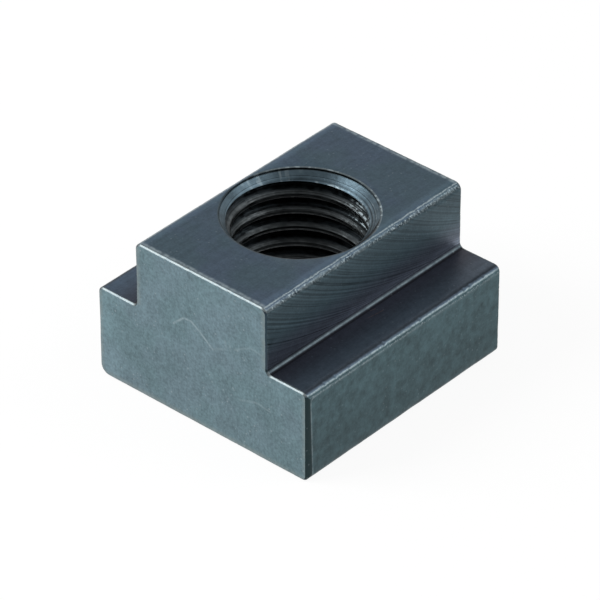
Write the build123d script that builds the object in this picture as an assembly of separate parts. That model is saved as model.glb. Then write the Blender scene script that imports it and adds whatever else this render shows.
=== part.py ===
from build123d import *
import math
import os

# T-slot nut: one block of steel bar with a T-shaped section, sawn to length.
# The wide base slides under the lips of a table slot, the narrow neck stands up between
# them, and a hole runs straight down through both, countersunk at each end for its thread.
# X runs across the slot, Y along it and Z up. The origin is under the middle of the base.
# All sizes are in millimetres.

# Thread
thread_diameter = 16.0
thread_pitch = 2.0
countersink_margin = 0.05      # how far the mouth of the hole reaches past the thread's roots
countersink_angle = 90.0       # full angle of the cone

# Section of the bar
neck_wall = 0.75               # steel left beside the thread, on each side of the neck
shoulder_width = 5.25          # how far the base stands out past the neck, on each side
base_height = 10.7
neck_height = 7.7
nut_length = 29.5

# Edges
neck_top_round = 0.8
base_top_round = 0.7
bottom_left_round = 1.2        # one lower edge of the bar is worn rounder than the other
bottom_right_round = 0.7
inner_corner_round = 0.5
end_chamfer = 0.25             # burr taken off all round both sawn ends

# Sizes that follow from those above
neck_width = thread_diameter + 2 * neck_wall
base_width = neck_width + 2 * shoulder_width
nut_height = base_height + neck_height

# The hole is drilled to the crests of the thread, which stand five eighths of the height
# of a 60 degree triangle in from its roots
thread_half_angle = math.radians(30)
triangle_height = thread_pitch / (2 * math.tan(thread_half_angle))
root_radius = thread_diameter / 2
crest_radius = root_radius - triangle_height * 5 / 8
mouth_radius = root_radius + countersink_margin


def round_corners(outline, x_places, height, radius):
    """Round the corners of the outline that lie at one height and at any of the given x."""
    corners = [
        vertex
        for vertex in outline.vertices()
        if math.isclose(vertex.Y, height, abs_tol=1e-6)
        and any(math.isclose(vertex.X, x, abs_tol=1e-6) for x in x_places)
    ]
    return fillet(corners, radius)


def bar_section():
    """The T of the bar, seen from the front, with its long edges rounded."""
    base_side = base_width / 2
    neck_side = neck_width / 2
    base = Pos(0, base_height / 2) * Rectangle(base_width, base_height)
    neck = Pos(0, nut_height / 2) * Rectangle(neck_width, nut_height)
    outline = base + neck
    outline = round_corners(outline, [-base_side], 0, bottom_left_round)
    outline = round_corners(outline, [base_side], 0, bottom_right_round)
    outline = round_corners(outline, [-base_side, base_side], base_height, base_top_round)
    outline = round_corners(outline, [-neck_side, neck_side], base_height, inner_corner_round)
    outline = round_corners(outline, [-neck_side, neck_side], nut_height, neck_top_round)
    return outline


def sawn_bar():
    """A length of the bar, lying along Y, with the burr taken off both ends."""
    bar = extrude(Plane.XZ * bar_section(), amount=nut_length / 2, both=True)
    end_edges = bar.faces().sort_by(Axis.Y)[0].edges() + bar.faces().sort_by(Axis.Y)[-1].edges()
    return chamfer(end_edges, end_chamfer)


def drilled_hole():
    """The straight hole, down to the crests of its thread."""
    return Pos(0, 0, nut_height / 2) * Cylinder(crest_radius, nut_height)


def countersink():
    """The cone of the top countersink, point down, with its rim on the top face."""
    cone_depth = mouth_radius / math.tan(math.radians(countersink_angle / 2))
    return Pos(0, 0, nut_height - cone_depth / 2) * Cone(0, mouth_radius, cone_depth)


def t_slot_nut():
    """The finished nut: the bar with its hole and a countersink at each end of it."""
    top_cone = countersink()
    bottom_cone = Pos(0, 0, nut_height) * Rot(X=180) * top_cone
    return sawn_bar() - drilled_hole() - top_cone - bottom_cone


os.makedirs("parts", exist_ok=True)
export_step(t_slot_nut(), "parts/t_slot_nut.step")
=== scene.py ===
import math
import random

import bmesh
import bpy
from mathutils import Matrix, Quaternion, Vector, noise
from mathutils.kdtree import KDTree


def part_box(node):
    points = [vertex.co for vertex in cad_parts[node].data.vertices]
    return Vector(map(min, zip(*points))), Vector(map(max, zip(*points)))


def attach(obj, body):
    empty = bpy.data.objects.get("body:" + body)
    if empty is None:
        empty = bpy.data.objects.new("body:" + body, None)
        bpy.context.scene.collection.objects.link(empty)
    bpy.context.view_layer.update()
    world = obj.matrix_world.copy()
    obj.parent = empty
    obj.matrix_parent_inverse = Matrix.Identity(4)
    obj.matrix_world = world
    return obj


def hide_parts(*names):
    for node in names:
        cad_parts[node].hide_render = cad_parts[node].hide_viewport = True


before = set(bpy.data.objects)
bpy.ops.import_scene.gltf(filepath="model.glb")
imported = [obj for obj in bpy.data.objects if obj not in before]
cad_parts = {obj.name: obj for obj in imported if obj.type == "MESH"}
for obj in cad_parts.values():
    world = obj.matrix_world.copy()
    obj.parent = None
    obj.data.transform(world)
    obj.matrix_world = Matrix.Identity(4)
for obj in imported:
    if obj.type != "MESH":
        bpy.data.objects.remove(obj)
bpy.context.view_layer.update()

# The bar
# The nut starts as a length of T-shaped steel bar: a wide base that runs under the lips of a
# table slot and a narrow neck that stands up between them. Its long edges are rolled round, and
# a file has broken the edges of its two sawn ends. Sizes here are in millimetres.
METRE = 1000.0
TINY = 1e-4
_, high_corner = (Vector(corner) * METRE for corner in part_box("t_slot_nut"))
base_side = high_corner.x
end_reach = high_corner.y
neck_top = high_corner.z
neck_side = 8.75
shoulder = 10.7

neck_top_round = 0.8
base_top_round = 0.7
bottom_left_round = 1.2
bottom_right_round = 0.7
inner_corner_round = 0.5
filed_chamfer = 0.18
arris_round = 0.05
broad_filing_low = 0.85
broad_filing_high = 0.52

flat_margin = 0.25
slice_step = 0.1
end_zone = 1.2
end_step = 0.13


def round_corners(bm, x_places, height, radius, segments):
    """Round the corners of a flat outline that lie at these places and this height."""
    corners = [
        vert
        for vert in bm.verts
        if abs(vert.co.z - height) < TINY and any(abs(vert.co.x - x) < TINY for x in x_places)
    ]
    bmesh.ops.bevel(
        bm,
        geom=corners,
        offset=radius,
        segments=segments,
        profile=0.5,
        affect="VERTICES",
        material=-1,
    )


def bar_outline(bm):
    """The T of one sawn end as a single face, with its corners rounded."""
    right_half = [
        (base_side, 0.0),
        (base_side, shoulder),
        (neck_side, shoulder),
        (neck_side, neck_top),
    ]
    outline = right_half + [(-x, z) for x, z in reversed(right_half)]
    bm.faces.new([bm.verts.new((x, -end_reach, z)) for x, z in outline])
    round_corners(bm, [-base_side], 0.0, bottom_left_round, segments=10)
    round_corners(bm, [base_side], 0.0, bottom_right_round, segments=8)
    round_corners(bm, [-base_side, base_side], shoulder, base_top_round, segments=8)
    round_corners(bm, [-neck_side, neck_side], shoulder, inner_corner_round, segments=6)
    round_corners(bm, [-neck_side, neck_side], neck_top, neck_top_round, segments=10)


def slice_bar(bm, point, normal):
    """Cut the faces along a plane, without parting the bar."""
    bmesh.ops.bisect_plane(
        bm,
        geom=bm.verts[:] + bm.edges[:] + bm.faces[:],
        dist=TINY,
        plane_co=point,
        plane_no=normal,
    )


def edges_across(bm, reach):
    """The edges that lie across the bar, no nearer to its middle than the reach."""
    return [
        edge
        for edge in bm.edges
        if abs(edge.verts[0].co.y - edge.verts[1].co.y) < TINY
        and abs(edge.verts[0].co.y) > reach
    ]


def bevel_edges(bm, edges, offset, segments):
    return bmesh.ops.bevel(
        bm,
        geom=edges,
        offset=offset,
        segments=segments,
        profile=0.5,
        affect="EDGES",
        material=-1,
    )


def subdivide_alike(bm, edges, step):
    """Cut edges into equal pieces, the ones of equal length in one go so that faces stay square."""
    by_length = {}
    for edge in edges:
        by_length.setdefault(round(edge.calc_length() / step), []).append(edge)
    for pieces, alike in by_length.items():
        if pieces > 1:
            bmesh.ops.subdivide_edges(bm, edges=alike, cuts=pieces - 1, use_grid_fill=True)


def file_broader(bm):
    """The file leaned on the front right edge of the base, and took more off it low down."""
    edge = filed_chamfer + arris_round
    for vert in bm.verts:
        x, y, z = vert.co
        depth = y + end_reach
        if depth > end_zone or x < base_side - base_top_round or not 0.0 < z < shoulder:
            continue
        swell = min(z / bottom_right_round, (shoulder - z) / base_top_round, 1.0)
        broad = broad_filing_low + (broad_filing_high - broad_filing_low) * z / shoulder
        reach = edge + (broad - edge) * swell**2
        if depth < edge:
            depth *= reach / edge
        else:
            depth = reach + (depth - edge) * (end_zone - reach) / (end_zone - edge)
        vert.co.y = depth - end_reach


def extrude_bar(bm):
    """The T pushed back to the bar's full length."""
    bar_outline(bm)
    moved = bmesh.ops.extrude_face_region(bm, geom=bm.faces[:])
    far_end = [item for item in moved["geom"] if isinstance(item, bmesh.types.BMVert)]
    bmesh.ops.translate(bm, vec=(0.0, 2 * end_reach, 0.0), verts=far_end)
    bmesh.ops.recalc_face_normals(bm, faces=bm.faces)


def slice_beside_rounds(bm):
    """Cuts along the bar that keep its flats apart from its rounded edges."""
    beside_rounds = [
        base_side - base_top_round - flat_margin,
        neck_side + inner_corner_round + flat_margin,
        neck_side - neck_top_round - flat_margin,
    ]
    for x in beside_rounds:
        slice_bar(bm, (x, 0.0, 0.0), (1.0, 0.0, 0.0))
        slice_bar(bm, (-x, 0.0, 0.0), (1.0, 0.0, 0.0))
    above_rounds = [
        bottom_left_round + flat_margin,
        shoulder - base_top_round - flat_margin,
        shoulder + inner_corner_round + flat_margin,
        neck_top - neck_top_round - flat_margin,
    ]
    for z in above_rounds:
        slice_bar(bm, (0.0, 0.0, z), (0.0, 0.0, 1.0))


def file_ends(bm):
    """The file's flat along every edge of the sawn ends, with both of its own edges softened."""
    sawn_edges = [
        edge
        for edge in edges_across(bm, 0.0)
        if any(abs(face.normal.y) < 0.5 for face in edge.link_faces)
    ]
    bevel_edges(bm, sawn_edges, filed_chamfer, 1)
    chamfer_edges = [
        edge
        for edge in edges_across(bm, 0.0)
        if any(0.5 < abs(face.normal.y) < 0.9 for face in edge.link_faces)
    ]
    bevel_edges(bm, chamfer_edges, arris_round, 2)


def cut_finely(bm):
    """Short steps along the bar and across its ends, so that the surface can take its wear."""
    sawn_faces = [face for face in bm.faces if abs(face.normal.y) > 0.99]
    bmesh.ops.delete(bm, geom=sawn_faces, context="FACES")
    for y in (end_zone - end_reach, end_reach - end_zone):
        slice_bar(bm, (0.0, y, 0.0), (0.0, 1.0, 0.0))
    long_edges = [
        edge
        for edge in bm.edges
        if abs(edge.verts[0].co.y - edge.verts[1].co.y) > 2 * slice_step
    ]
    subdivide_alike(bm, long_edges, slice_step)
    subdivide_alike(bm, edges_across(bm, end_reach - end_zone - TINY), end_step)
    open_edges = [edge for edge in bm.edges if edge.is_boundary]
    sawn_faces = bmesh.ops.holes_fill(bm, edges=open_edges)["faces"]
    bmesh.ops.inset_region(bm, faces=sawn_faces, thickness=flat_margin, use_even_offset=True)


def sawn_bar():
    """The bar as it leaves the bench: sliced, filed and ready for its knocks."""
    bm = bmesh.new()
    extrude_bar(bm)
    slice_beside_rounds(bm)
    file_ends(bm)
    cut_finely(bm)
    file_broader(bm)
    bmesh.ops.recalc_face_normals(bm, faces=bm.faces)
    bm.normal_update()
    return bm


# Its knocks
# Lying and tumbling among other steel parts has nicked the outer edges, most of all the long
# ones of the neck and the top of the base. Every knock goes inwards from the clean shape.
roughened = 0.014
roughened_grain = 0.30
softened = 0.035
softened_grain = 2.5
nicks_on_long_edges = 620
nicks_on_sawn_edges = 190
nick_reach = (0.10, 0.22)
nick_depth = (0.008, 0.050)
knocks_on_neck_edge = (-10.1, -6.3, -3.3, 4.8, 8.2, 12.9)
knocks_on_base_edge = (-11.9, -10.3, -3.0, 2.4, 9.3, 10.2)
knock_reach = 0.28
knock_depth = 0.055
knock_inset = 0.2
base_knock_drop = 0.15


def worn_depth(place):
    """How far general wear has taken an edge back at this place."""
    fine = noise.noise(place / roughened_grain)
    broad = noise.noise(place / softened_grain)
    return roughened * max(fine, 0.0) + softened * max(broad, 0.0)


def outer_edge_verts(bm):
    """The points on the rounded long edges, and the ones on the filed edges of the ends."""
    long_ones, sawn_ones = [], []
    for vert in bm.verts:
        x, _, z = vert.co
        near_neck = abs(x) < neck_side + inner_corner_round + TINY
        near_root = abs(z - shoulder - inner_corner_round) < inner_corner_round + TINY
        if near_neck and near_root:
            continue
        tilts = [abs(part) for part in vert.normal]
        if max(tilts) < 0.99 and abs(vert.normal.y) > 0.1:
            sawn_ones.append(vert)
        elif max(tilts) < 0.995:
            long_ones.append(vert)
    return long_ones, sawn_ones


def choose_knocks(long_ones, sawn_ones):
    """Where each knock landed, how far it spread and how deep it went."""
    dice = random.Random(18)
    starts = dice.choices(long_ones, k=nicks_on_long_edges)
    starts += dice.choices(sawn_ones, k=nicks_on_sawn_edges)
    knocks = [
        (start.co.copy(), dice.uniform(*nick_reach), dice.uniform(*nick_depth) * dice.random())
        for start in starts
    ]
    for y in knocks_on_neck_edge:
        place = Vector((neck_side - knock_inset, y, neck_top - knock_inset))
        knocks.append((place, knock_reach, knock_depth))
    for y in knocks_on_base_edge:
        place = Vector((base_side - knock_inset, y, shoulder - base_knock_drop))
        knocks.append((place, knock_reach, knock_depth))
    return knocks


def knock_edges(bm):
    """Push the points of the outer edges inwards by their wear and by every knock near them."""
    long_ones, sawn_ones = outer_edge_verts(bm)
    near = KDTree(len(bm.verts))
    for index, vert in enumerate(bm.verts):
        near.insert(vert.co, index)
    near.balance()
    bm.verts.ensure_lookup_table()
    depths = {vert.index: worn_depth(vert.co) for vert in long_ones + sawn_ones}
    for place, reach, depth in choose_knocks(long_ones, sawn_ones):
        for _, index, distance in near.find_range(place, reach):
            if index in depths:
                depths[index] += depth * (1 - (distance / reach) ** 2) ** 2
    inward = {index: -bm.verts[index].normal.copy() for index in depths}
    for index, depth in depths.items():
        bm.verts[index].co += inward[index] * depth


# The hole
# It is drilled through the block, countersunk at both ends and tapped with a right-hand M16 x 2
# thread, whose flanks slope by 30 degrees and whose crests are slightly broken. Each cutter is
# a closed shape that is taken out of the bar, and leaves its own finish on the cut metal.
thread_pitch = 2.0
root_radius = 8.0
crest_radius = root_radius - thread_pitch * math.sqrt(3) / 2 * 5 / 8
crest_break = 0.11
break_start = 0.25
flank_slope = 0.58
mouth_radius = root_radius + 0.05
cone_start = 0.28
cone_depth = mouth_radius - crest_radius
lip_width = 0.2
lip_depth = 0.035
cone_slope = (cone_depth - cone_start) / cone_depth
cone_overreach = 0.3
rings_on_cone = 8
steps_round = 90
full_turn = 2 * math.pi


def chain(bm, points):
    """A chain of edges in the plane X-Z, from (radius, height) points."""
    verts = [bm.verts.new((radius, 0.0, height)) for radius, height in points]
    edges = [bm.edges.new(pair) for pair in zip(verts, verts[1:])]
    return verts + edges


def tap():
    """The tap: one pitch of its tooth turned up a right-hand helix and closed at both ends."""
    bm = bmesh.new()
    at_crest = thread_pitch / 2 - thread_pitch / 8
    at_root = thread_pitch / 16
    tooth = [
        (crest_radius, -thread_pitch / 2),
        (crest_radius, -at_crest - crest_break),
        (crest_radius + crest_break * break_start, -at_crest - crest_break * break_start),
        (crest_radius + crest_break, -at_crest + crest_break * flank_slope),
        (root_radius, -at_root),
        (root_radius, at_root),
        (crest_radius + crest_break, at_crest - crest_break * flank_slope),
        (crest_radius + crest_break * break_start, at_crest + crest_break * break_start),
        (crest_radius, at_crest + crest_break),
        (crest_radius, thread_pitch / 2),
    ]
    start = -2 * thread_pitch
    turns = math.ceil(neck_top / thread_pitch) + 4
    profile = chain(bm, [(radius, start + height) for radius, height in tooth])
    bmesh.ops.spin(
        bm,
        geom=profile,
        cent=(0.0, 0.0, 0.0),
        axis=(0.0, 0.0, 1.0),
        dvec=(0.0, 0.0, thread_pitch / steps_round),
        angle=turns * full_turn,
        steps=turns * steps_round,
        use_duplicate=False,
    )
    bmesh.ops.remove_doubles(bm, verts=bm.verts, dist=TINY)
    caps = bmesh.ops.holes_fill(bm, edges=[edge for edge in bm.edges if edge.is_boundary])
    bmesh.ops.poke(bm, faces=caps["faces"])
    bmesh.ops.recalc_face_normals(bm, faces=bm.faces)
    return bm


def countersink(height, upward):
    """The cutter of one countersink: its cone, a short straight wall and a lip at the rim."""
    bm = bmesh.new()
    cone_width = cone_depth + cone_overreach
    points = [(0.0, -2 * cone_depth)]
    for ring in range(rings_on_cone + 1):
        inset = cone_width * (1 - ring / rings_on_cone)
        points.append((mouth_radius - inset, -cone_start - inset * cone_slope))
    points += [
        (mouth_radius, -lip_depth),
        (mouth_radius + lip_width, 0.0),
        (mouth_radius + lip_width, 1.0),
        (0.0, 1.0),
    ]
    points = [(radius, height + upward * level) for radius, level in points]
    bmesh.ops.spin(
        bm,
        geom=chain(bm, points),
        cent=(0.0, 0.0, 0.0),
        axis=(0.0, 0.0, 1.0),
        dvec=(0.0, 0.0, 0.0),
        angle=full_turn,
        steps=2 * steps_round,
        use_merge=True,
    )
    bmesh.ops.remove_doubles(bm, verts=bm.verts, dist=TINY)
    bmesh.ops.recalc_face_normals(bm, faces=bm.faces)
    return bm


# Its steel
# The bar is oiled black oxide over milled steel, a dark blue-grey skin that is thin enough to
# show every cutter mark, and that is rubbed through to bright metal along the outer edges. Some of
# the colours below also serve as painted shade and painted highlights.
# Painted shade, put on the right side of the filed edges where they look dark.
painted_shade_black = (0.0200, 0.0345, 0.0375)
# Rubbed bare steel, also used for painted highlights.
rubbed_steel_and_highlight = (0.3000, 0.3600, 0.3850)
# Bare filed steel, which also stands in as a painted highlight on the upward filed edges.
bare_steel_and_highlight = (0.1250, 0.1470, 0.1520)


def put(tree, socket, value):
    """Give a socket its value, or join it to where the value comes from."""
    if isinstance(value, bpy.types.NodeSocket):
        tree.links.new(value, socket)
    elif socket.type == "RGBA":
        socket.default_value = (*value, 1.0)
    else:
        socket.default_value = value


def calc(tree, operation, *values):
    """One step of arithmetic on numbers or masks."""
    node = tree.nodes.new("ShaderNodeMath")
    node.operation = operation
    for socket, value in zip(node.inputs, values):
        put(tree, socket, value)
    return node.outputs[0]


def both(tree, *masks):
    """Where every one of the masks holds."""
    product = masks[0]
    for mask in masks[1:]:
        product = calc(tree, "MULTIPLY", product, mask)
    return product


def span(tree, first, second):
    """The straight distance to a point that lies so far one way and so far square to it."""
    squares = [calc(tree, "MULTIPLY", side, side) for side in (first, second)]
    return calc(tree, "SQRT", calc(tree, "ADD", *squares))


def rise(tree, value, start, end, low=0.0, high=1.0):
    """Go smoothly from low to high as the value goes from start to end."""
    node = tree.nodes.new("ShaderNodeMapRange")
    node.interpolation_type = "SMOOTHSTEP"
    for socket, given in zip(node.inputs, (value, start, end, low, high)):
        put(tree, socket, given)
    return node.outputs[0]


def ridge(tree, value, centre, width):
    """One at the centre, falling smoothly to nothing a width away on either side."""
    away = calc(tree, "ABSOLUTE", calc(tree, "SUBTRACT", value, centre))
    return rise(tree, away, width, 0.0)


def grain(tree, place, scale, detail=2.0, stretch=None, turn=0.0, seed=0.0):
    """Cloudy noise from 0 to 1; the scale is in grains for each millimetre."""
    if stretch or turn or seed:
        mapping = tree.nodes.new("ShaderNodeMapping")
        mapping.inputs["Location"].default_value = (seed, seed, seed)
        mapping.inputs["Rotation"].default_value = (0.0, 0.0, turn)
        mapping.inputs["Scale"].default_value = stretch or (1.0, 1.0, 1.0)
        put(tree, mapping.inputs["Vector"], place)
        place = mapping.outputs[0]
    node = tree.nodes.new("ShaderNodeTexNoise")
    put(tree, node.inputs["Vector"], place)
    node.inputs["Scale"].default_value = scale
    node.inputs["Detail"].default_value = detail
    return node.outputs["Fac"]


def lines(tree, along, scale, detail=2.0):
    """Noise that changes only along one value, as the marks of a cutter do."""
    node = tree.nodes.new("ShaderNodeTexNoise")
    node.noise_dimensions = "1D"
    put(tree, node.inputs["W"], along)
    node.inputs["Scale"].default_value = scale
    node.inputs["Detail"].default_value = detail
    return node.outputs["Fac"]


def vary(tree, factor, cloud, strength):
    """Let a factor follow a cloudy value, up and down by the strength."""
    return calc(tree, "MULTIPLY_ADD", calc(tree, "SUBTRACT", cloud, 0.5), strength, factor)


def tint(tree, factor, first, second, mode="MIX"):
    """Two colours mixed by a factor; the node has its colours in sockets 6, 7 and 2."""
    node = tree.nodes.new("ShaderNodeMix")
    node.data_type = "RGBA"
    node.blend_type = mode
    put(tree, node.inputs["Factor"], factor)
    put(tree, node.inputs[6], first)
    put(tree, node.inputs[7], second)
    return node.outputs[2]


def show(tree, colour, metal, mask, strength):
    """Let another tone of metal show through a colour where a mask holds."""
    return tint(tree, calc(tree, "MULTIPLY", mask, strength), colour, metal)


def dim(tree, colour, factor):
    """A colour made darker or lighter by a factor."""
    node = tree.nodes.new("ShaderNodeVectorMath")
    node.operation = "SCALE"
    put(tree, node.inputs[0], colour)
    put(tree, node.inputs["Scale"], factor)
    return node.outputs[0]


def relight(tree, colour, mask, change):
    """A colour made lighter where a mask holds, or darker when the change is below zero."""
    return dim(tree, colour, calc(tree, "MULTIPLY_ADD", mask, change, 1.0))


def place_on_nut(tree):
    """Where a point is on the nut, in millimetres, and which way its surface faces."""
    source = tree.nodes.new("ShaderNodeTexCoord")
    scale = tree.nodes.new("ShaderNodeVectorMath")
    scale.operation = "SCALE"
    scale.inputs["Scale"].default_value = METRE
    tree.links.new(source.outputs["Object"], scale.inputs[0])
    split_place = tree.nodes.new("ShaderNodeSeparateXYZ")
    tree.links.new(scale.outputs[0], split_place.inputs[0])
    split_facing = tree.nodes.new("ShaderNodeSeparateXYZ")
    tree.links.new(source.outputs["Normal"], split_facing.inputs[0])
    return scale.outputs[0], list(split_place.outputs), list(split_facing.outputs)


def outward_tilt(tree):
    """The angle by which the surface leans outwards: 0 where it faces up, 1.57 where it is upright."""
    _, _, (facing_x, _, facing_z) = place_on_nut(tree)
    return calc(tree, "ARCTAN2", calc(tree, "ABSOLUTE", facing_x), facing_z)


def new_group(name, inputs, outputs):
    """An empty node group; its inputs have a name and a kind, its outputs are all numbers."""
    tree = bpy.data.node_groups.new(name, "ShaderNodeTree")
    for socket, kind in inputs:
        tree.interface.new_socket(name=socket, in_out="INPUT", socket_type="NodeSocket" + kind)
    for socket in outputs:
        tree.interface.new_socket(name=socket, in_out="OUTPUT", socket_type="NodeSocketFloat")
    return tree, tree.nodes.new("NodeGroupInput").outputs, tree.nodes.new("NodeGroupOutput").inputs


def use_group(tree, group, **values):
    """Place a node group, with its values by name, and give back its outputs."""
    node = tree.nodes.new("ShaderNodeGroup")
    node.node_tree = group
    for name, value in values.items():
        put(tree, node.inputs[name.replace("_", " ").capitalize()], value)
    return node.outputs


def make_long_edge_wear_and_highlight():
    """A bright line along the rolled long edges, worn metal with a painted highlight, with rubbed and
    nicked metal below it.
    """
    tree, given, result = new_group(
        "long_edge_wear_and_highlight",
        [("Line tilt", "Float"), ("Line width", "Float"), ("Rub start", "Float"), ("Rub end", "Float")],
        ["Line", "Rub"],
    )
    place, _, (_, facing_y, _) = place_on_nut(tree)
    tilt = vary(tree, outward_tilt(tree), grain(tree, place, 0.8, 2.0), 0.14)
    # The line is a painted highlight on worn metal, at a set tilt of the rounding.
    line = ridge(tree, tilt, given["Line tilt"], given["Line width"])
    broken = rise(tree, grain(tree, place, 4.6, 4.0, seed=3.0), 0.36, 0.58, 0.45, 1.0)
    rub = both(
        tree,
        rise(tree, tilt, given["Rub start"], calc(tree, "ADD", given["Rub start"], 0.25)),
        rise(tree, tilt, given["Rub end"], calc(tree, "SUBTRACT", given["Rub end"], 0.35)),
    )
    patches = rise(tree, grain(tree, place, 0.9, 3.0, seed=8.0), 0.36, 0.62, 0.0, 0.30)
    speckle = rise(tree, grain(tree, place, 5.0, 2.0, seed=7.0), 0.48, 0.60)
    knots = rise(tree, grain(tree, place, 1.6, 2.0, seed=12.0), 0.50, 0.62, 0.60, 1.0)
    rubbed = calc(tree, "MAXIMUM", both(tree, speckle, knots), patches)
    on_long_edge = rise(tree, calc(tree, "ABSOLUTE", facing_y), 0.30, 0.12)
    put(tree, result["Line"], both(tree, line, broken, on_long_edge))
    put(tree, result["Rub"], both(tree, rub, rubbed, on_long_edge))
    return tree


def make_filed_edge_wear_and_light():
    """The filed edges: bare with a painted highlight on top, painted shade down the right, nicked at each
    arris.
    """
    tree, _, result = new_group("filed_edge_wear_and_light", [], ["Bright", "Painted shade", "Arris"])
    place, (_, y, _), (facing_x, facing_y, facing_z) = place_on_nut(tree)
    endwise = calc(tree, "ABSOLUTE", facing_y)
    near_end = rise(tree, calc(tree, "ABSOLUTE", y), end_reach - 0.85, end_reach - 0.75)
    filed = both(tree, rise(tree, endwise, 0.08, 0.2), rise(tree, endwise, 0.985, 0.90), near_end)
    upward = rise(tree, facing_z, 0.30, 0.60)
    upright = rise(tree, calc(tree, "ABSOLUTE", facing_z), 0.40, 0.20)
    flat = both(tree, rise(tree, endwise, 0.14, 0.24), rise(tree, endwise, 0.92, 0.84))
    to_right = rise(tree, facing_x, 0.0, 0.1)
    patchy = rise(tree, grain(tree, place, 2.2, 4.0, seed=5.0), 0.30, 0.56, 0.62, 1.0)
    nicked = rise(tree, grain(tree, place, 1.9, 4.0, seed=11.0), 0.42, 0.62)
    arris = calc(tree, "SUBTRACT", 1.0, flat)
    # Bare metal with a painted highlight on the upward filed edges.
    put(tree, result["Bright"], both(tree, filed, upward, patchy))
    # Painted shade on the filed edges that stand upright and face right.
    put(tree, result["Painted shade"], both(tree, filed, upright, flat, to_right))
    put(tree, result["Arris"], both(tree, filed, arris, nicked))
    return tree


def make_oxide_mottle():
    """The cloudy, faintly blotched tone of black oxide, with fine pits and pale specks."""
    tree, given, result = new_group(
        "oxide_mottle", [("Strength", "Float")], ["Shade", "Blueness", "Speck", "Height"]
    )
    place, _, _ = place_on_nut(tree)
    broad = grain(tree, place, 0.22, 2.0, seed=21.0)
    middle = grain(tree, place, 1.3, 3.0, seed=4.0)
    fine = grain(tree, place, 4.5, 3.0, seed=9.0)
    cloud = calc(tree, "ADD", calc(tree, "MULTIPLY", middle, 0.45), calc(tree, "MULTIPLY", fine, 0.55))
    put(tree, result["Shade"], vary(tree, 1.0, cloud, given["Strength"]))
    put(tree, result["Blueness"], rise(tree, broad, 0.35, 0.65))
    specks = tree.nodes.new("ShaderNodeTexVoronoi")
    put(tree, specks.inputs["Vector"], place)
    specks.inputs["Scale"].default_value = 1.4
    some = rise(tree, grain(tree, place, 0.5, 2.0, seed=15.0), 0.40, 0.58)
    put(tree, result["Speck"], both(tree, rise(tree, specks.outputs["Distance"], 0.19, 0.07), some))
    put(tree, result["Height"], calc(tree, "ADD", fine, calc(tree, "MULTIPLY", middle, 0.6)))
    return tree


def make_hairline():
    """A fine straight scratch from one place on the nut to another, in millimetres."""
    tree, given, result = new_group(
        "hairline", [("Start", "Vector"), ("Finish", "Vector"), ("Width", "Float")], ["Mask"]
    )
    place, _, _ = place_on_nut(tree)

    def vector(operation, first, second, output=0):
        node = tree.nodes.new("ShaderNodeVectorMath")
        node.operation = operation
        put(tree, node.inputs[0], first)
        put(tree, node.inputs["Scale" if operation == "SCALE" else 1], second)
        return node.outputs[output]

    run = vector("SUBTRACT", given["Finish"], given["Start"])
    from_start = vector("SUBTRACT", place, given["Start"])
    length_squared = vector("DOT_PRODUCT", run, run, 1)
    along = calc(tree, "DIVIDE", vector("DOT_PRODUCT", from_start, run, 1), length_squared)
    share = calc(tree, "MINIMUM", calc(tree, "MAXIMUM", along, 0.0), 1.0)
    away = vector("DISTANCE", from_start, vector("SCALE", run, share), 1)
    rough = rise(tree, grain(tree, place, 3.0, 2.0), 0.3, 0.6, 0.35, 1.0)
    put(tree, result["Mask"], both(tree, rise(tree, away, given["Width"], 0.0), rough))
    return tree


long_edge_wear_and_highlight = make_long_edge_wear_and_highlight()
filed_edge_wear_and_light = make_filed_edge_wear_and_light()
oxide_mottle = make_oxide_mottle()
hairline = make_hairline()


def scratch(tree, colour, metal, strength, width, places):
    """Draw a scratch through the places, in a tone of its own."""
    mask = 0.0
    for start, finish in zip(places, places[1:]):
        piece = use_group(tree, hairline, start=start, finish=finish, width=width)
        mask = calc(tree, "MAXIMUM", mask, piece["Mask"])
    return show(tree, colour, metal, mask, strength)


def new_steel(name, roughness):
    material = bpy.data.materials.new(name)
    material.use_nodes = True
    tree = material.node_tree
    shader = tree.nodes["Principled BSDF"]
    shader.inputs["Metallic"].default_value = 1.0
    shader.inputs["Roughness"].default_value = roughness
    return material, tree, shader


def raise_surface(tree, shader, height, distance):
    """Let a height show on the surface; the distance is in millimetres."""
    bump = tree.nodes.new("ShaderNodeBump")
    bump.inputs["Distance"].default_value = distance / METRE
    put(tree, bump.inputs["Height"], height)
    tree.links.new(bump.outputs[0], shader.inputs["Normal"])


# The flanks
# The top, the neck's sides, the ledges beside it, the base's sides and the underside are milled
# or rolled smooth, each with a tone of its own. Painted light makes the neck paler at its foot, and
# painted shade darkens the ledges towards the neck, the inner corners and parts of the edges. The
# side cutter's teeth left arcs on the neck, and two short brown scratches mark the right ledge.
oxide_green = (0.0447, 0.0720, 0.0925)
oxide_blue = (0.0486, 0.0724, 0.1028)
neck_side_oxide = (0.0557, 0.0863, 0.1030)
# Painted light for the neck's foot.
neck_foot_painted_light = (0.0930, 0.1100, 0.1400)
ledge_oxide = (0.0670, 0.0860, 0.1110)
# Painted shade for the ledges next to the neck.
ledge_root_painted_shade = (0.0450, 0.0475, 0.0610)
left_ledge_tint = (0.7900, 0.9100, 1.0000)
base_side_oxide = (0.0460, 0.0830, 0.0945)
# A painted highlight for the inner corners, also used for a pale tool line on the neck.
corner_highlight_and_tool_line = (0.0970, 0.1240, 0.1390)
scratch_brown = (0.1500, 0.0950, 0.0800)

neck_foot_height = 4.2
ledge_root_width = 4.2
cutter_radius = 46.0
# The tilts of the rounded long edges at which their painted highlights lie.
neck_highlight_tilt = 0.40
base_highlight_tilt = 0.98
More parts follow.
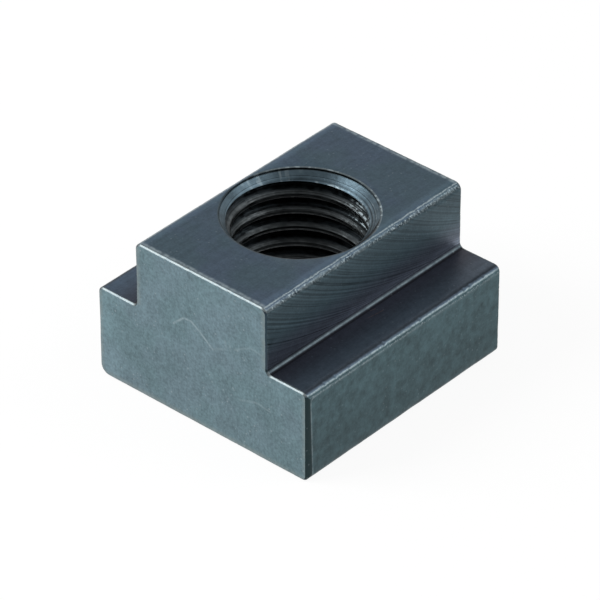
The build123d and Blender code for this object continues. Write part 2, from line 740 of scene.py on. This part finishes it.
# The tilt of the inner corner's rounding at which its painted highlight lies.
corner_highlight_tilt = 0.90
second_line_height = 0.72
burr_inset = 0.42
burr_width = 0.34
ledge_scratches = [
    [(9.95, -0.95, shoulder), (10.10, 0.10, shoulder), (10.20, 1.10, shoulder)],
    [(9.30, 0.10, shoulder), (9.45, 0.70, shoulder)],
]


def faces_of_bar(tree):
    """Masks of the neck's sides, the base's sides and the two ledges."""
    _, (_, _, z), (facing_x, _, facing_z) = place_on_nut(tree)
    upright = rise(tree, calc(tree, "ABSOLUTE", facing_x), 0.6, 0.95)
    on_neck_side = both(tree, upright, rise(tree, z, shoulder + 0.1, shoulder + 0.5))
    on_base_side = both(tree, upright, rise(tree, z, shoulder, shoulder - 0.4))
    level = rise(tree, facing_z, 0.6, 0.95)
    on_ledge = both(tree, level, rise(tree, z, shoulder + 0.5, shoulder + 0.1))
    return on_neck_side, on_base_side, on_ledge


def neck_side_colour(tree):
    """The neck's sides, with painted light that makes them paler towards the foot and the back, and a
    little darker towards the top.
    """
    _, (_, y, z), _ = place_on_nut(tree)
    at_foot = rise(tree, z, shoulder + neck_foot_height, shoulder + 1.0)
    colour = tint(tree, at_foot, neck_side_oxide, neck_foot_painted_light)
    foot_light = rise(tree, y, -12.0, 2.0, 1.1, 1.95)
    colour = dim(tree, colour, rise(tree, z, shoulder + 1.7, shoulder + 0.5, 1.0, foot_light))
    return dim(tree, colour, rise(tree, z, shoulder + 3.8, shoulder + 6.1, 1.10, 0.94))


def ledge_colour(tree):
    """The ledges, with painted shade towards the neck, and darker towards the back; the left one is bluer.
    """
    _, (x, y, _), _ = place_on_nut(tree)
    outward = calc(tree, "ABSOLUTE", x)
    at_root = rise(tree, outward, neck_side + ledge_root_width, neck_side + 0.8)
    colour = tint(tree, at_root, ledge_oxide, ledge_root_painted_shade)
    colour = tint(tree, rise(tree, x, 0.0, -neck_side), colour, left_ledge_tint, "MULTIPLY")
    colour = dim(tree, colour, rise(tree, outward, neck_side + 0.45, neck_side + 1.15, 0.80, 1.0))
    return dim(tree, colour, rise(tree, y, 0.0, 12.0, 1.0, 0.86))


def flank_oxide_and_painted_light(tree, mottle):
    """The blackened colour of every flank, with its clouds, the marks of its making, and the painted light
    and shade of the neck's sides and the ledges.
    """
    place, (_, _, z), (_, _, facing_z) = place_on_nut(tree)
    on_neck_side, on_base_side, on_ledge = faces_of_bar(tree)
    colour = tint(tree, mottle["Blueness"], oxide_green, oxide_blue)
    colour = tint(tree, on_neck_side, colour, neck_side_colour(tree))
    colour = tint(tree, on_ledge, colour, ledge_colour(tree))
    higher_up = rise(tree, z, 0.8, shoulder - 0.5, 0.86, 1.13)
    colour = tint(tree, on_base_side, colour, dim(tree, base_side_oxide, higher_up))
    blotches = grain(tree, place, 1.1, 6.0, seed=31.0)
    shade = vary(tree, mottle["Shade"], blotches, calc(tree, "MULTIPLY", on_base_side, 1.25))
    tooling = grain(tree, place, 3.2, 3.0, stretch=(1.0, 0.06, 1.0), turn=-0.20, seed=6.0)
    shade = vary(tree, shade, tooling, rise(tree, facing_z, 0.9, 0.99, 0.0, 0.38))
    return dim(tree, colour, shade)


def cutter_arcs(tree):
    """The fine and the deep marks of the side cutter's teeth, in arcs that run down the neck."""
    place, (_, y, z), _ = place_on_nut(tree)
    above_cut = calc(tree, "SUBTRACT", z, shoulder + cutter_radius)
    drop = calc(tree, "SUBTRACT", cutter_radius**2, calc(tree, "MULTIPLY", above_cut, above_cut))
    tooth_path = calc(tree, "ADD", y, calc(tree, "SQRT", calc(tree, "MAXIMUM", drop, 0.0)))
    fine_cuts = lines(tree, tooth_path, 1.8, 6.0)
    deep_cuts = both(
        tree,
        rise(tree, lines(tree, calc(tree, "ADD", tooth_path, 50.0), 1.35, 3.0), 0.47, 0.33),
        rise(tree, lines(tree, tooth_path, 0.25, 2.0), 0.36, 0.60, 0.25, 1.0),
        rise(tree, grain(tree, place, 0.35, 2.0, seed=33.0), 0.36, 0.60, 0.50, 1.0),
    )
    return fine_cuts, deep_cuts


def shade_wear_and_highlight_edge(tree, colour, at_edge, band, shade_tilt, shade, rub, line):
    """Paint shade on one rounded edge where it turns away, rub it pale, and draw its bright line as worn
    metal with a painted highlight.
    """
    # Painted shade where the rounding turns away.
    painted_shade_turned_away = both(tree, ridge(tree, outward_tilt(tree), shade_tilt, 0.45), at_edge)
    colour = relight(tree, colour, painted_shade_turned_away, -shade)
    wear = use_group(tree, long_edge_wear_and_highlight, **band)
    colour = show(tree, colour, rubbed_steel_and_highlight, both(tree, wear["Rub"], at_edge), rub)
    return show(tree, colour, rubbed_steel_and_highlight, both(tree, wear["Line"], at_edge), line)


def wear_and_light_long_edges(tree, colour):
    """The worn long edges of the neck's top and the base's top, with painted shade and painted highlights,
    and a paler strip beside them.
    """
    _, (x, _, z), (_, _, facing_z) = place_on_nut(tree)
    outward = calc(tree, "ABSOLUTE", x)
    at_neck_top = rise(tree, z, neck_top - neck_top_round - 0.3, neck_top - neck_top_round)
    at_base_top = both(
        tree,
        rise(tree, outward, base_side - base_top_round - 0.2, base_side - base_top_round),
        rise(tree, z, shoulder - base_top_round - 0.4, shoulder - base_top_round),
    )
    beside_edge = both(
        tree,
        rise(tree, facing_z, 0.9, 0.99),
        rise(tree, z, shoulder + 1.0, neck_top),
        rise(tree, outward, neck_side - 1.6, neck_side - 0.9),
    )
    colour = relight(tree, colour, beside_edge, 0.40)
    neck_band = {"line_tilt": neck_highlight_tilt, "line_width": 0.17, "rub_start": 0.52, "rub_end": 1.35}
    base_band = {"line_tilt": base_highlight_tilt, "line_width": 0.25, "rub_start": 1.20, "rub_end": 1.75}
    colour = shade_wear_and_highlight_edge(
        tree, colour, at_neck_top, neck_band, shade_tilt=0.98, shade=0.58, rub=0.62, line=0.95
    )
    return shade_wear_and_highlight_edge(
        tree, colour, at_base_top, base_band, shade_tilt=0.38, shade=0.62, rub=0.66, line=0.80
    )


def shade_inner_corner(tree, colour):
    """Painted shade darkens the round corner at the neck's foot, with a painted highlight along it and a
    pale tool line above.
    """
    _, (x, y, z), _ = place_on_nut(tree)
    corner_side = neck_side + inner_corner_round
    corner_top = shoulder + inner_corner_round
    in_corner = both(
        tree,
        rise(tree, calc(tree, "ABSOLUTE", x), corner_side + 0.05, corner_side - 0.02),
        rise(tree, z, corner_top + 0.05, corner_top - 0.02),
        rise(tree, z, shoulder - 0.2, shoulder - 0.1),
    )
    # Painted shade in the inner corner.
    colour = relight(tree, colour, in_corner, -0.55)
    broken = rise(tree, lines(tree, y, 0.8, 4.0), 0.34, 0.60, 0.50, 1.0)
    # A painted highlight along the corner's rounding.
    painted_corner_highlight = both(tree, ridge(tree, outward_tilt(tree), corner_highlight_tilt, 0.46), in_corner, broken)
    colour = tint(tree, painted_corner_highlight, colour, corner_highlight_and_tool_line)
    on_neck_side, _, _ = faces_of_bar(tree)
    second_line = both(
        tree,
        ridge(tree, z, shoulder + second_line_height, 0.12),
        rise(tree, y, -3.0, 5.0),
        on_neck_side,
    )
    return show(tree, colour, corner_highlight_and_tool_line, second_line, 0.5)


def mark_filed_ends(tree, colour, filed):
    """A worn burr across the top, painted shade down the right of the filed edges, and their nicked arris.
    """
    place, (_, y, z), (_, _, facing_z) = place_on_nut(tree)
    burr = both(
        tree,
        ridge(tree, calc(tree, "ABSOLUTE", y), end_reach - burr_inset, burr_width),
        rise(tree, facing_z, 0.9, 0.99),
        rise(tree, z, shoulder + 1.0, neck_top),
        rise(tree, grain(tree, place, 1.5, 3.0, seed=17.0), 0.34, 0.60, 0.25, 1.0),
    )
    colour = show(tree, colour, rubbed_steel_and_highlight, burr, 0.60)
    less_on_neck = rise(tree, z, shoulder + 0.2, shoulder + 0.6, 1.0, 0.4)
    # Painted shade down the right side of the filed edges, less on the neck.
    colour = show(tree, colour, painted_shade_black, filed["Painted shade"], less_on_neck)
    return show(tree, colour, rubbed_steel_and_highlight, filed["Arris"], 0.5)


def mark_broad_filing(tree, colour):
    """The front right edge of the base, where the file leaned: painted shade, inside a fine worn burr."""
    place, (x, y, z), _ = place_on_nut(tree)
    below_top = calc(tree, "DIVIDE", calc(tree, "SUBTRACT", shoulder, z), base_top_round)
    swell = calc(tree, "MINIMUM", below_top, 1.0)
    narrowing = (broad_filing_high - broad_filing_low) / shoulder
    broad = calc(tree, "MULTIPLY_ADD", z, narrowing, broad_filing_low)
    reach = calc(tree, "MULTIPLY", calc(tree, "MULTIPLY", broad, swell), swell)
    past_filing = calc(tree, "SUBTRACT", calc(tree, "ADD", y, end_reach), reach)
    filed_painted_shade = both(
        tree,
        rise(tree, past_filing, 0.06, -0.06),
        rise(tree, x, base_side - 0.35, base_side - 0.25),
        rise(tree, z, shoulder - 0.1, shoulder - 0.4),
    )
    # Painted shade on the broader filed facet.
    colour = tint(tree, filed_painted_shade, colour, painted_shade_black)
    short_by = calc(tree, "MAXIMUM", calc(tree, "SUBTRACT", 0.7, past_filing), 0.0)
    high_by = calc(tree, "MAXIMUM", calc(tree, "SUBTRACT", z, shoulder - 1.35), 0.0)
    filed_burr = both(
        tree,
        ridge(tree, span(tree, short_by, high_by), 0.62, 0.15),
        rise(tree, x, base_side - 0.25, base_side - 0.1),
        rise(tree, y, 6.0, -8.0, 0.35, 1.0),
        rise(tree, grain(tree, place, 1.4, 3.0, seed=37.0), 0.34, 0.62, 0.25, 1.0),
    )
    return show(tree, colour, rubbed_steel_and_highlight, filed_burr, 0.36)


def make_flank_steel():
    material, tree, shader = new_steel("blackened_flank", 0.42)
    mottle = use_group(tree, oxide_mottle, strength=0.95)
    filed = use_group(tree, filed_edge_wear_and_light)
    on_neck_side, _, _ = faces_of_bar(tree)
    fine_cuts, deep_cuts = cutter_arcs(tree)
    cut_shade = calc(tree, "MULTIPLY_ADD", deep_cuts, -0.60, vary(tree, 0.0, fine_cuts, 1.4))
    colour = relight(tree, flank_oxide_and_painted_light(tree, mottle), on_neck_side, cut_shade)
    colour = wear_and_light_long_edges(tree, colour)
    colour = shade_inner_corner(tree, colour)
    colour = mark_filed_ends(tree, colour, filed)
    colour = mark_broad_filing(tree, colour)
    # Bare filed metal with a painted highlight on the upward filed edges.
    colour = tint(tree, filed["Bright"], colour, bare_steel_and_highlight)
    colour = show(tree, colour, rubbed_steel_and_highlight, mottle["Speck"], 0.13)
    for places in ledge_scratches:
        colour = scratch(tree, colour, scratch_brown, 0.7, 0.07, places)
    put(tree, shader.inputs["Base Color"], colour)
    height = vary(tree, mottle["Height"], fine_cuts, calc(tree, "MULTIPLY", on_neck_side, 1.2))
    raise_surface(tree, shader, height, 0.006)
    return material


# The sawn ends
# They have the same black oxide over the rougher cut of a saw, so they look paler, with pits and
# an upright grain. The front one has a long bent scratch and lighter scuffs beside it.
sawn_pale = (0.1520, 0.2200, 0.2520)
sawn_deep = (0.1400, 0.2130, 0.2380)
arris_pale = (0.2700, 0.3000, 0.2900)
bare_scratch = (0.2900, 0.3700, 0.4000)
long_scratch = [
    (-3.63, -end_reach, 11.02),
    (-2.21, -end_reach, 12.33),
    (-1.23, -end_reach, 12.34),
    (-0.25, -end_reach, 11.74),
    (1.59, -end_reach, 10.30),
]
light_scuffs = [
    [(4.60, -end_reach, 11.69), (6.60, -end_reach, 12.89), (8.18, -end_reach, 12.69)],
    [(1.70, -end_reach, 10.35), (3.20, -end_reach, 11.10)],
    [(5.20, -end_reach, 5.87), (7.40, -end_reach, 6.60), (9.18, -end_reach, 6.37)],
    [(3.30, -end_reach, 12.10), (3.45, -end_reach, 11.20)],
    [(3.85, -end_reach, 12.30), (3.95, -end_reach, 11.30)],
]


def worn_rim(tree):
    """The strips of a sawn end that are worn pale, beside the neck's sides and round the base."""
    place, (x, _, z), _ = place_on_nut(tree)
    outward = calc(tree, "ABSOLUTE", x)
    beside_neck = both(
        tree,
        rise(tree, outward, neck_side - 0.9, neck_side - 0.2),
        rise(tree, z, shoulder + 0.1, shoulder + 0.6),
    )
    beside_base = rise(tree, outward, base_side - 0.8, base_side - 0.2)
    round_base = calc(tree, "MAXIMUM", beside_base, rise(tree, z, 0.9, 0.2))
    patchy = rise(tree, grain(tree, place, 1.4, 3.0, seed=37.0), 0.34, 0.60, 0.50, 1.0)
    return both(tree, calc(tree, "MAXIMUM", beside_neck, round_base), patchy)


def make_sawn_steel():
    material, tree, shader = new_steel("sawn_end", 0.5)
    place, (x, _, z), _ = place_on_nut(tree)
    mottle = use_group(tree, oxide_mottle, strength=0.62)
    filed = use_group(tree, filed_edge_wear_and_light)
    saw_marks = grain(tree, place, 2.6, 4.0, stretch=(2.0, 1.0, 0.30), seed=2.0)
    pits = grain(tree, place, 3.4, 5.0, seed=27.0)
    clouds = grain(tree, place, 0.55, 3.0, seed=41.0)
    shade = vary(tree, mottle["Shade"], saw_marks, 0.30)
    shade = vary(tree, shade, pits, 0.80)
    shade = vary(tree, shade, clouds, 0.45)
    shade = calc(tree, "MULTIPLY", shade, rise(tree, z, 0.0, neck_top, 0.95, 1.07))
    shade = calc(tree, "MULTIPLY", shade, rise(tree, x, -9.5, -base_side, 1.0, 1.26))
    colour = dim(tree, tint(tree, mottle["Blueness"], sawn_pale, sawn_deep), shade)
    colour = show(tree, colour, rubbed_steel_and_highlight, mottle["Speck"], 0.62)
    colour = scratch(tree, colour, bare_scratch, 0.9, 0.20, long_scratch)
    for places in light_scuffs:
        colour = scratch(tree, colour, bare_scratch, 0.36, 0.22, places)
    colour = show(tree, colour, arris_pale, worn_rim(tree), 0.50)
    # Painted shade down the right of the filed edges; bare metal with a painted highlight on the upward
    # ones.
    colour = tint(tree, filed["Painted shade"], colour, painted_shade_black)
    colour = tint(tree, filed["Bright"], colour, bare_steel_and_highlight)
    put(tree, shader.inputs["Base Color"], colour)
    raise_surface(tree, shader, calc(tree, "ADD", saw_marks, mottle["Height"]), 0.006)
    return material


# The countersinks
# They are turned, so they carry fine rings, given a painted highlight on the right. Painted shade
# darkens the back of the cone and painted light pales its left; the cutter nicked it further left,
# left a lip round the mouth, darkened all round with a painted highlight on its far side, and a worn
# inner edge. Painted light and shade also lie on the short wall at the mouth.
turned_grey = (0.0500, 0.0730, 0.0890)
# The angle round the cone at which painted shade darkens its back.
shaded_back_angle = 2.05
nicked_angle = 2.75


def cone_shade(tree, radius, angle, rings):
    """How light the cone is: its rings and patches, a painted highlight to the right, painted shade at the
    back and painted light on the left.
    """
    place, (x, y, _), _ = place_on_nut(tree)
    mottle = use_group(tree, oxide_mottle, strength=0.6)
    shade = vary(tree, mottle["Shade"], rings, rise(tree, x, 1.0, 4.5, 2.2, 3.6))
    shade = vary(tree, shade, grain(tree, place, 0.75, 3.0, seed=25.0), 1.2)
    shade = calc(tree, "MULTIPLY", shade, rise(tree, radius, mouth_radius - 0.75, mouth_radius, 0.94, 0.98))
    # Painted shade at the back of the cone and painted light on its left.
    painted_light_by_side = calc(tree, "MULTIPLY_ADD", ridge(tree, angle, shaded_back_angle, 1.05), -0.46, 1.1)
    at_left = both(tree, rise(tree, x, -1.0, -5.0), rise(tree, y, 4.0, 0.0))
    painted_light_by_side = calc(tree, "MULTIPLY_ADD", at_left, 0.30, painted_light_by_side)
    return calc(tree, "MULTIPLY", shade, painted_light_by_side)


def make_turned_steel():
    material, tree, shader = new_steel("turned_countersink", 0.36)
    place, (x, y, _), (_, _, facing_z) = place_on_nut(tree)
    radius = span(tree, x, y)
    angle = calc(tree, "ARCTAN2", y, x)
    rings = lines(tree, radius, 6.0, 3.0)
    chips = rise(tree, grain(tree, place, 1.6, 4.0, seed=19.0), 0.48, 0.64)
    colour = dim(tree, turned_grey, cone_shade(tree, radius, angle, rings))

    # The lip is darkened all round and given a painted highlight on its far side.
    far_side = rise(tree, y, -1.0, 5.5)
    at_mouth = rise(tree, radius, mouth_radius - 0.02, mouth_radius + 0.03)
    lip_light = rise(tree, chips, 0.0, 1.0, 0.25, rise(tree, x, 1.0, 4.5, 0.60, 1.0))
    colour = relight(tree, colour, at_mouth, -0.38)
    colour = show(tree, colour, rubbed_steel_and_highlight, both(tree, at_mouth, far_side), lip_light)
    # A painted highlight on the rings at the far right.
    painted_highlight_rings = both(
        tree,
        rise(tree, lines(tree, radius, 7.0, 1.0), 0.50, 0.62),
        rise(tree, x, 2.5, 5.0),
        far_side,
        rise(tree, chips, 0.0, 0.6, 0.35, 1.0),
    )
    colour = show(tree, colour, rubbed_steel_and_highlight, painted_highlight_rings, 0.38)
    inner_edge = rise(tree, radius, crest_radius + 0.30, crest_radius + 0.10)
    colour = show(tree, colour, rubbed_steel_and_highlight, both(tree, inner_edge, chips), 0.32)
    nicks = both(
        tree,
        rise(tree, lines(tree, angle, 12.0, 3.0), 0.50, 0.62),
        rise(tree, grain(tree, place, 1.0, 2.0, seed=43.0), 0.40, 0.58),
        ridge(tree, angle, nicked_angle, 0.65),
    )
    colour = show(tree, colour, rubbed_steel_and_highlight, nicks, 0.22)
    # Painted light and shade on the short wall at the mouth: lighter away from the back, darker at it.
    upright = rise(tree, calc(tree, "ABSOLUTE", facing_z), 0.45, 0.15)
    on_wall = both(tree, upright, rise(tree, radius, mouth_radius - 0.25, mouth_radius - 0.1))
    wall_light = rise(tree, ridge(tree, angle, shaded_back_angle, 1.0), 0.1, 0.6, 2.2, -0.5)
    colour = relight(tree, colour, on_wall, wall_light)
    put(tree, shader.inputs["Base Color"], colour)
    raise_surface(tree, shader, calc(tree, "ADD", rings, calc(tree, "MULTIPLY", chips, 0.4)), 0.014)
    return material


# The thread
# Its flanks hold black oxide and oil, darkened further with painted shade, and bolts have rubbed
# only the crests grey, with painted shade along each crest's rim. Along the far wall, which runs
# from left to right in the direction given here, painted light makes the left end paler and the
# right end a little paler, and painted glints stand high up at the right.
# Near black: oiled oxide darkened further with painted shade.
thread_black_and_shade = (0.0180, 0.0225, 0.0255)
crest_grey = (0.0560, 0.0630, 0.0660)
far_wall_run = (0.747, 0.665)
# Where the painted glints stand: their angle round the hole and the height above which they begin.
painted_glint_angle = 1.10
painted_glints_above = 12.0


def make_tapped_steel():
    material, tree, shader = new_steel("tapped_thread", 0.42)
    place, (x, y, z), _ = place_on_nut(tree)
    radius = span(tree, x, y)
    angle = calc(tree, "ARCTAN2", y, x)
    turn_share = calc(tree, "DIVIDE", angle, full_turn)
    along_helix = calc(tree, "MULTIPLY_ADD", turn_share, -thread_pitch, z)
    drag_marks = lines(tree, along_helix, 5.0, 3.0)
    torn = grain(tree, place, 1.5, 4.0, seed=13.0)
    near_crest = rise(tree, radius, crest_radius + 0.62, crest_radius + 0.10)
    worn = rise(tree, torn, 0.30, 0.62, 0.70, 1.0)
    colour = show(tree, thread_black_and_shade, crest_grey, near_crest, worn)
    # Painted shade along each crest's rim.
    painted_shade_crest_rim = rise(tree, radius, crest_radius + 0.16, crest_radius + 0.04)
    colour = relight(tree, colour, painted_shade_crest_rim, -0.25)

    shade = vary(tree, 1.0, grain(tree, place, 0.6, 2.0), 1.2)
    shade = vary(tree, shade, drag_marks, 3.2)
    run_x, run_y = far_wall_run
    along_wall = calc(tree, "MULTIPLY_ADD", x, run_x, calc(tree, "MULTIPLY", y, run_y))
    # Painted light along the far wall: paler at its left end and a little paler at its right.
    painted_light_left = rise(tree, along_wall, -1.5, -6.0)
    painted_light_right = rise(tree, along_wall, 2.5, 6.5, 0.0, 0.15)
    painted_light_along_wall = calc(tree, "ADD", painted_light_left, painted_light_right)
    shade = calc(tree, "MULTIPLY", shade, calc(tree, "ADD", painted_light_along_wall, 0.55))
    colour = dim(tree, colour, shade)
    # Painted glints: highlights painted high up on the far wall at the right.
    painted_glints = both(
        tree,
        ridge(tree, angle, painted_glint_angle, 0.62),
        rise(tree, z, painted_glints_above, painted_glints_above + 2.0),
        rise(tree, lines(tree, along_helix, 4.2, 3.0), 0.50, 0.60),
        rise(tree, grain(tree, place, 2.4, 4.0, seed=35.0), 0.46, 0.56),
    )
    colour = show(tree, colour, rubbed_steel_and_highlight, painted_glints, 0.9)
    put(tree, shader.inputs["Base Color"], colour)
    put(tree, shader.inputs["Roughness"], rise(tree, torn, 0.40, 0.60, 0.50, 0.28))
    raise_surface(tree, shader, calc(tree, "ADD", torn, calc(tree, "MULTIPLY", drag_marks, 1.2)), 0.030)
    return material


# The finished nut
# The knocked bar loses the two countersinks and the tapped hole, in the order of the real work.
# Faces that look along the bar are its sawn ends, and edges sharper than the crease stay crisp.
end_facing = 0.95
crease_angle = math.radians(50)


def as_object(name, bm, steels):
    """A new object of this shape and these steels; the shape is used up."""
    mesh = bpy.data.meshes.new(name)
    bm.to_mesh(mesh)
    bm.free()
    for steel in steels:
        mesh.materials.append(steel)
    obj = bpy.data.objects.new(name, mesh)
    bpy.context.scene.collection.objects.link(obj)
    return obj


def cut_away(blank, cutters):
    """The blank's mesh after every cutter has been taken out of it."""
    for cutter in cutters:
        cut = blank.modifiers.new(cutter.name, "BOOLEAN")
        cut.operation = "DIFFERENCE"
        cut.solver = "EXACT"
        cut.material_mode = "TRANSFER"
        cut.object = cutter
    bpy.context.view_layer.update()
    shaped = blank.evaluated_get(bpy.context.evaluated_depsgraph_get())
    mesh = bpy.data.meshes.new_from_object(shaped)
    for spent in [blank, *cutters]:
        bpy.data.objects.remove(spent)
    return mesh


bar_bm = sawn_bar()
for face in bar_bm.faces:
    face.material_index = int(abs(face.normal.y) > end_facing)
knock_edges(bar_bm)
blank = as_object("bar", bar_bm, [make_flank_steel(), make_sawn_steel()])
turned_steel = make_turned_steel()
cutters = [
    as_object("top_cutter", countersink(neck_top, 1), [turned_steel]),
    as_object("bottom_cutter", countersink(0.0, -1), [turned_steel]),
    as_object("tap", tap(), [make_tapped_steel()]),
]
nut_mesh = cut_away(blank, cutters)
nut_bm = bmesh.new()
nut_bm.from_mesh(nut_mesh)
bmesh.ops.scale(nut_bm, vec=Vector.Fill(3, 1 / METRE), verts=nut_bm.verts)
nut_bm.to_mesh(nut_mesh)
nut_bm.free()
nut_mesh.shade_smooth()
nut_mesh.set_sharp_from_angle(angle=crease_angle)
nut = bpy.data.objects.new("nut", nut_mesh)
bpy.context.scene.collection.objects.link(nut)
even = nut.modifiers.new("even_flats", "WEIGHTED_NORMAL")
even.keep_sharp = True
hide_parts("t_slot_nut")
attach(nut, "root")

# The studio
# A white floor and surround, seen as white by the camera and in the steel, with the nut's soft
# shadow kept on the floor. A large soft lamp stands front left and a weaker one behind, right.
# The floor lies a hair below the nut, so that it doesn't share a plane with the underside.
# Sizes from here on are in metres.
floor_reach = 3.0
floor_gap = 0.00005
paper_white = (0.9, 0.9, 0.9, 1.0)
glow_to_camera = 0.92
light_from_around = 0.5


def ways_of_seeing(tree):
    """Whether a ray comes straight from the camera, or by way of metal or glass."""
    ray = tree.nodes.new("ShaderNodeLightPath").outputs
    mirrored = calc(tree, "MAXIMUM", ray["Is Glossy Ray"], ray["Is Transmission Ray"])
    return ray["Is Camera Ray"], mirrored


floor_mesh = bpy.data.meshes.new("floor")
floor_bm = bmesh.new()
bmesh.ops.create_grid(floor_bm, x_segments=1, y_segments=1, size=floor_reach)
floor_bm.to_mesh(floor_mesh)
floor_bm.free()
floor = bpy.data.objects.new("floor", floor_mesh)
floor.location.z = -floor_gap
bpy.context.scene.collection.objects.link(floor)

white_floor = bpy.data.materials.new("white_floor")
white_floor.use_nodes = True
tree = white_floor.node_tree
tree.nodes.clear()
output = tree.nodes.new("ShaderNodeOutputMaterial")
paper = tree.nodes.new("ShaderNodeBsdfDiffuse")
paper.inputs["Color"].default_value = paper_white
glow = tree.nodes.new("ShaderNodeEmission")
direct, mirrored = ways_of_seeing(tree)
glow_share = calc(tree, "MULTIPLY_ADD", direct, glow_to_camera, mirrored)
mix = tree.nodes.new("ShaderNodeMixShader")
put(tree, mix.inputs[0], glow_share)
tree.links.new(paper.outputs[0], mix.inputs[1])
tree.links.new(glow.outputs[0], mix.inputs[2])
tree.links.new(mix.outputs[0], output.inputs["Surface"])
floor_mesh.materials.append(white_floor)

world = bpy.data.worlds.new("studio")
bpy.context.scene.world = world
world.use_nodes = True
tree = world.node_tree
surround = tree.nodes["Background"]
surround.inputs["Color"].default_value = (1.0, 1.0, 1.0, 1.0)
seen = calc(tree, "MAXIMUM", *ways_of_seeing(tree))
put(tree, surround.inputs["Strength"], calc(tree, "MAXIMUM", seen, light_from_around))


def soft_lamp(name, place, size, power):
    """A square soft lamp that points at the nut."""
    lamp_data = bpy.data.lights.new(name, "AREA")
    lamp_data.size = size
    lamp_data.energy = power
    lamp = bpy.data.objects.new(name, lamp_data)
    lamp.location = place
    lamp.rotation_euler = (-Vector(place)).to_track_quat("-Z", "Y").to_euler()
    bpy.context.scene.collection.objects.link(lamp)


soft_lamp("front_left_lamp", (-0.353, -0.376, 0.396), 0.35, 4.0)
soft_lamp("back_right_lamp", (0.42, 0.30, 0.45), 0.40, 1.2)

# The camera
# A long lens, a little under half a metre away, looking down on the front right corner.
camera_azimuth = math.radians(41.744)
camera_elevation = math.radians(35.307)
camera_roll = math.radians(-0.142)
camera_distance = 0.494776
camera_centre = Vector((0.0, 0.0, 0.009))
camera_aim = Vector((0.000416, -0.000464, 0.008121))
towards_camera = Vector((
    math.sin(camera_azimuth) * math.cos(camera_elevation),
    -math.cos(camera_azimuth) * math.cos(camera_elevation),
    math.sin(camera_elevation),
))
camera_data = bpy.data.cameras.new("camera")
camera_data.sensor_width = 36.0
camera_data.lens = 294.668
camera = bpy.data.objects.new("camera", camera_data)
camera.location = camera_centre + towards_camera * camera_distance
camera.rotation_mode = "QUATERNION"
level = (camera_aim - camera.location).to_track_quat("-Z", "Y")
camera.rotation_quaternion = level @ Quaternion((0.0, 0.0, 1.0), camera_roll)
bpy.context.scene.collection.objects.link(camera)
bpy.context.scene.camera = camera
bpy.context.scene.view_settings.view_transform = "Standard"
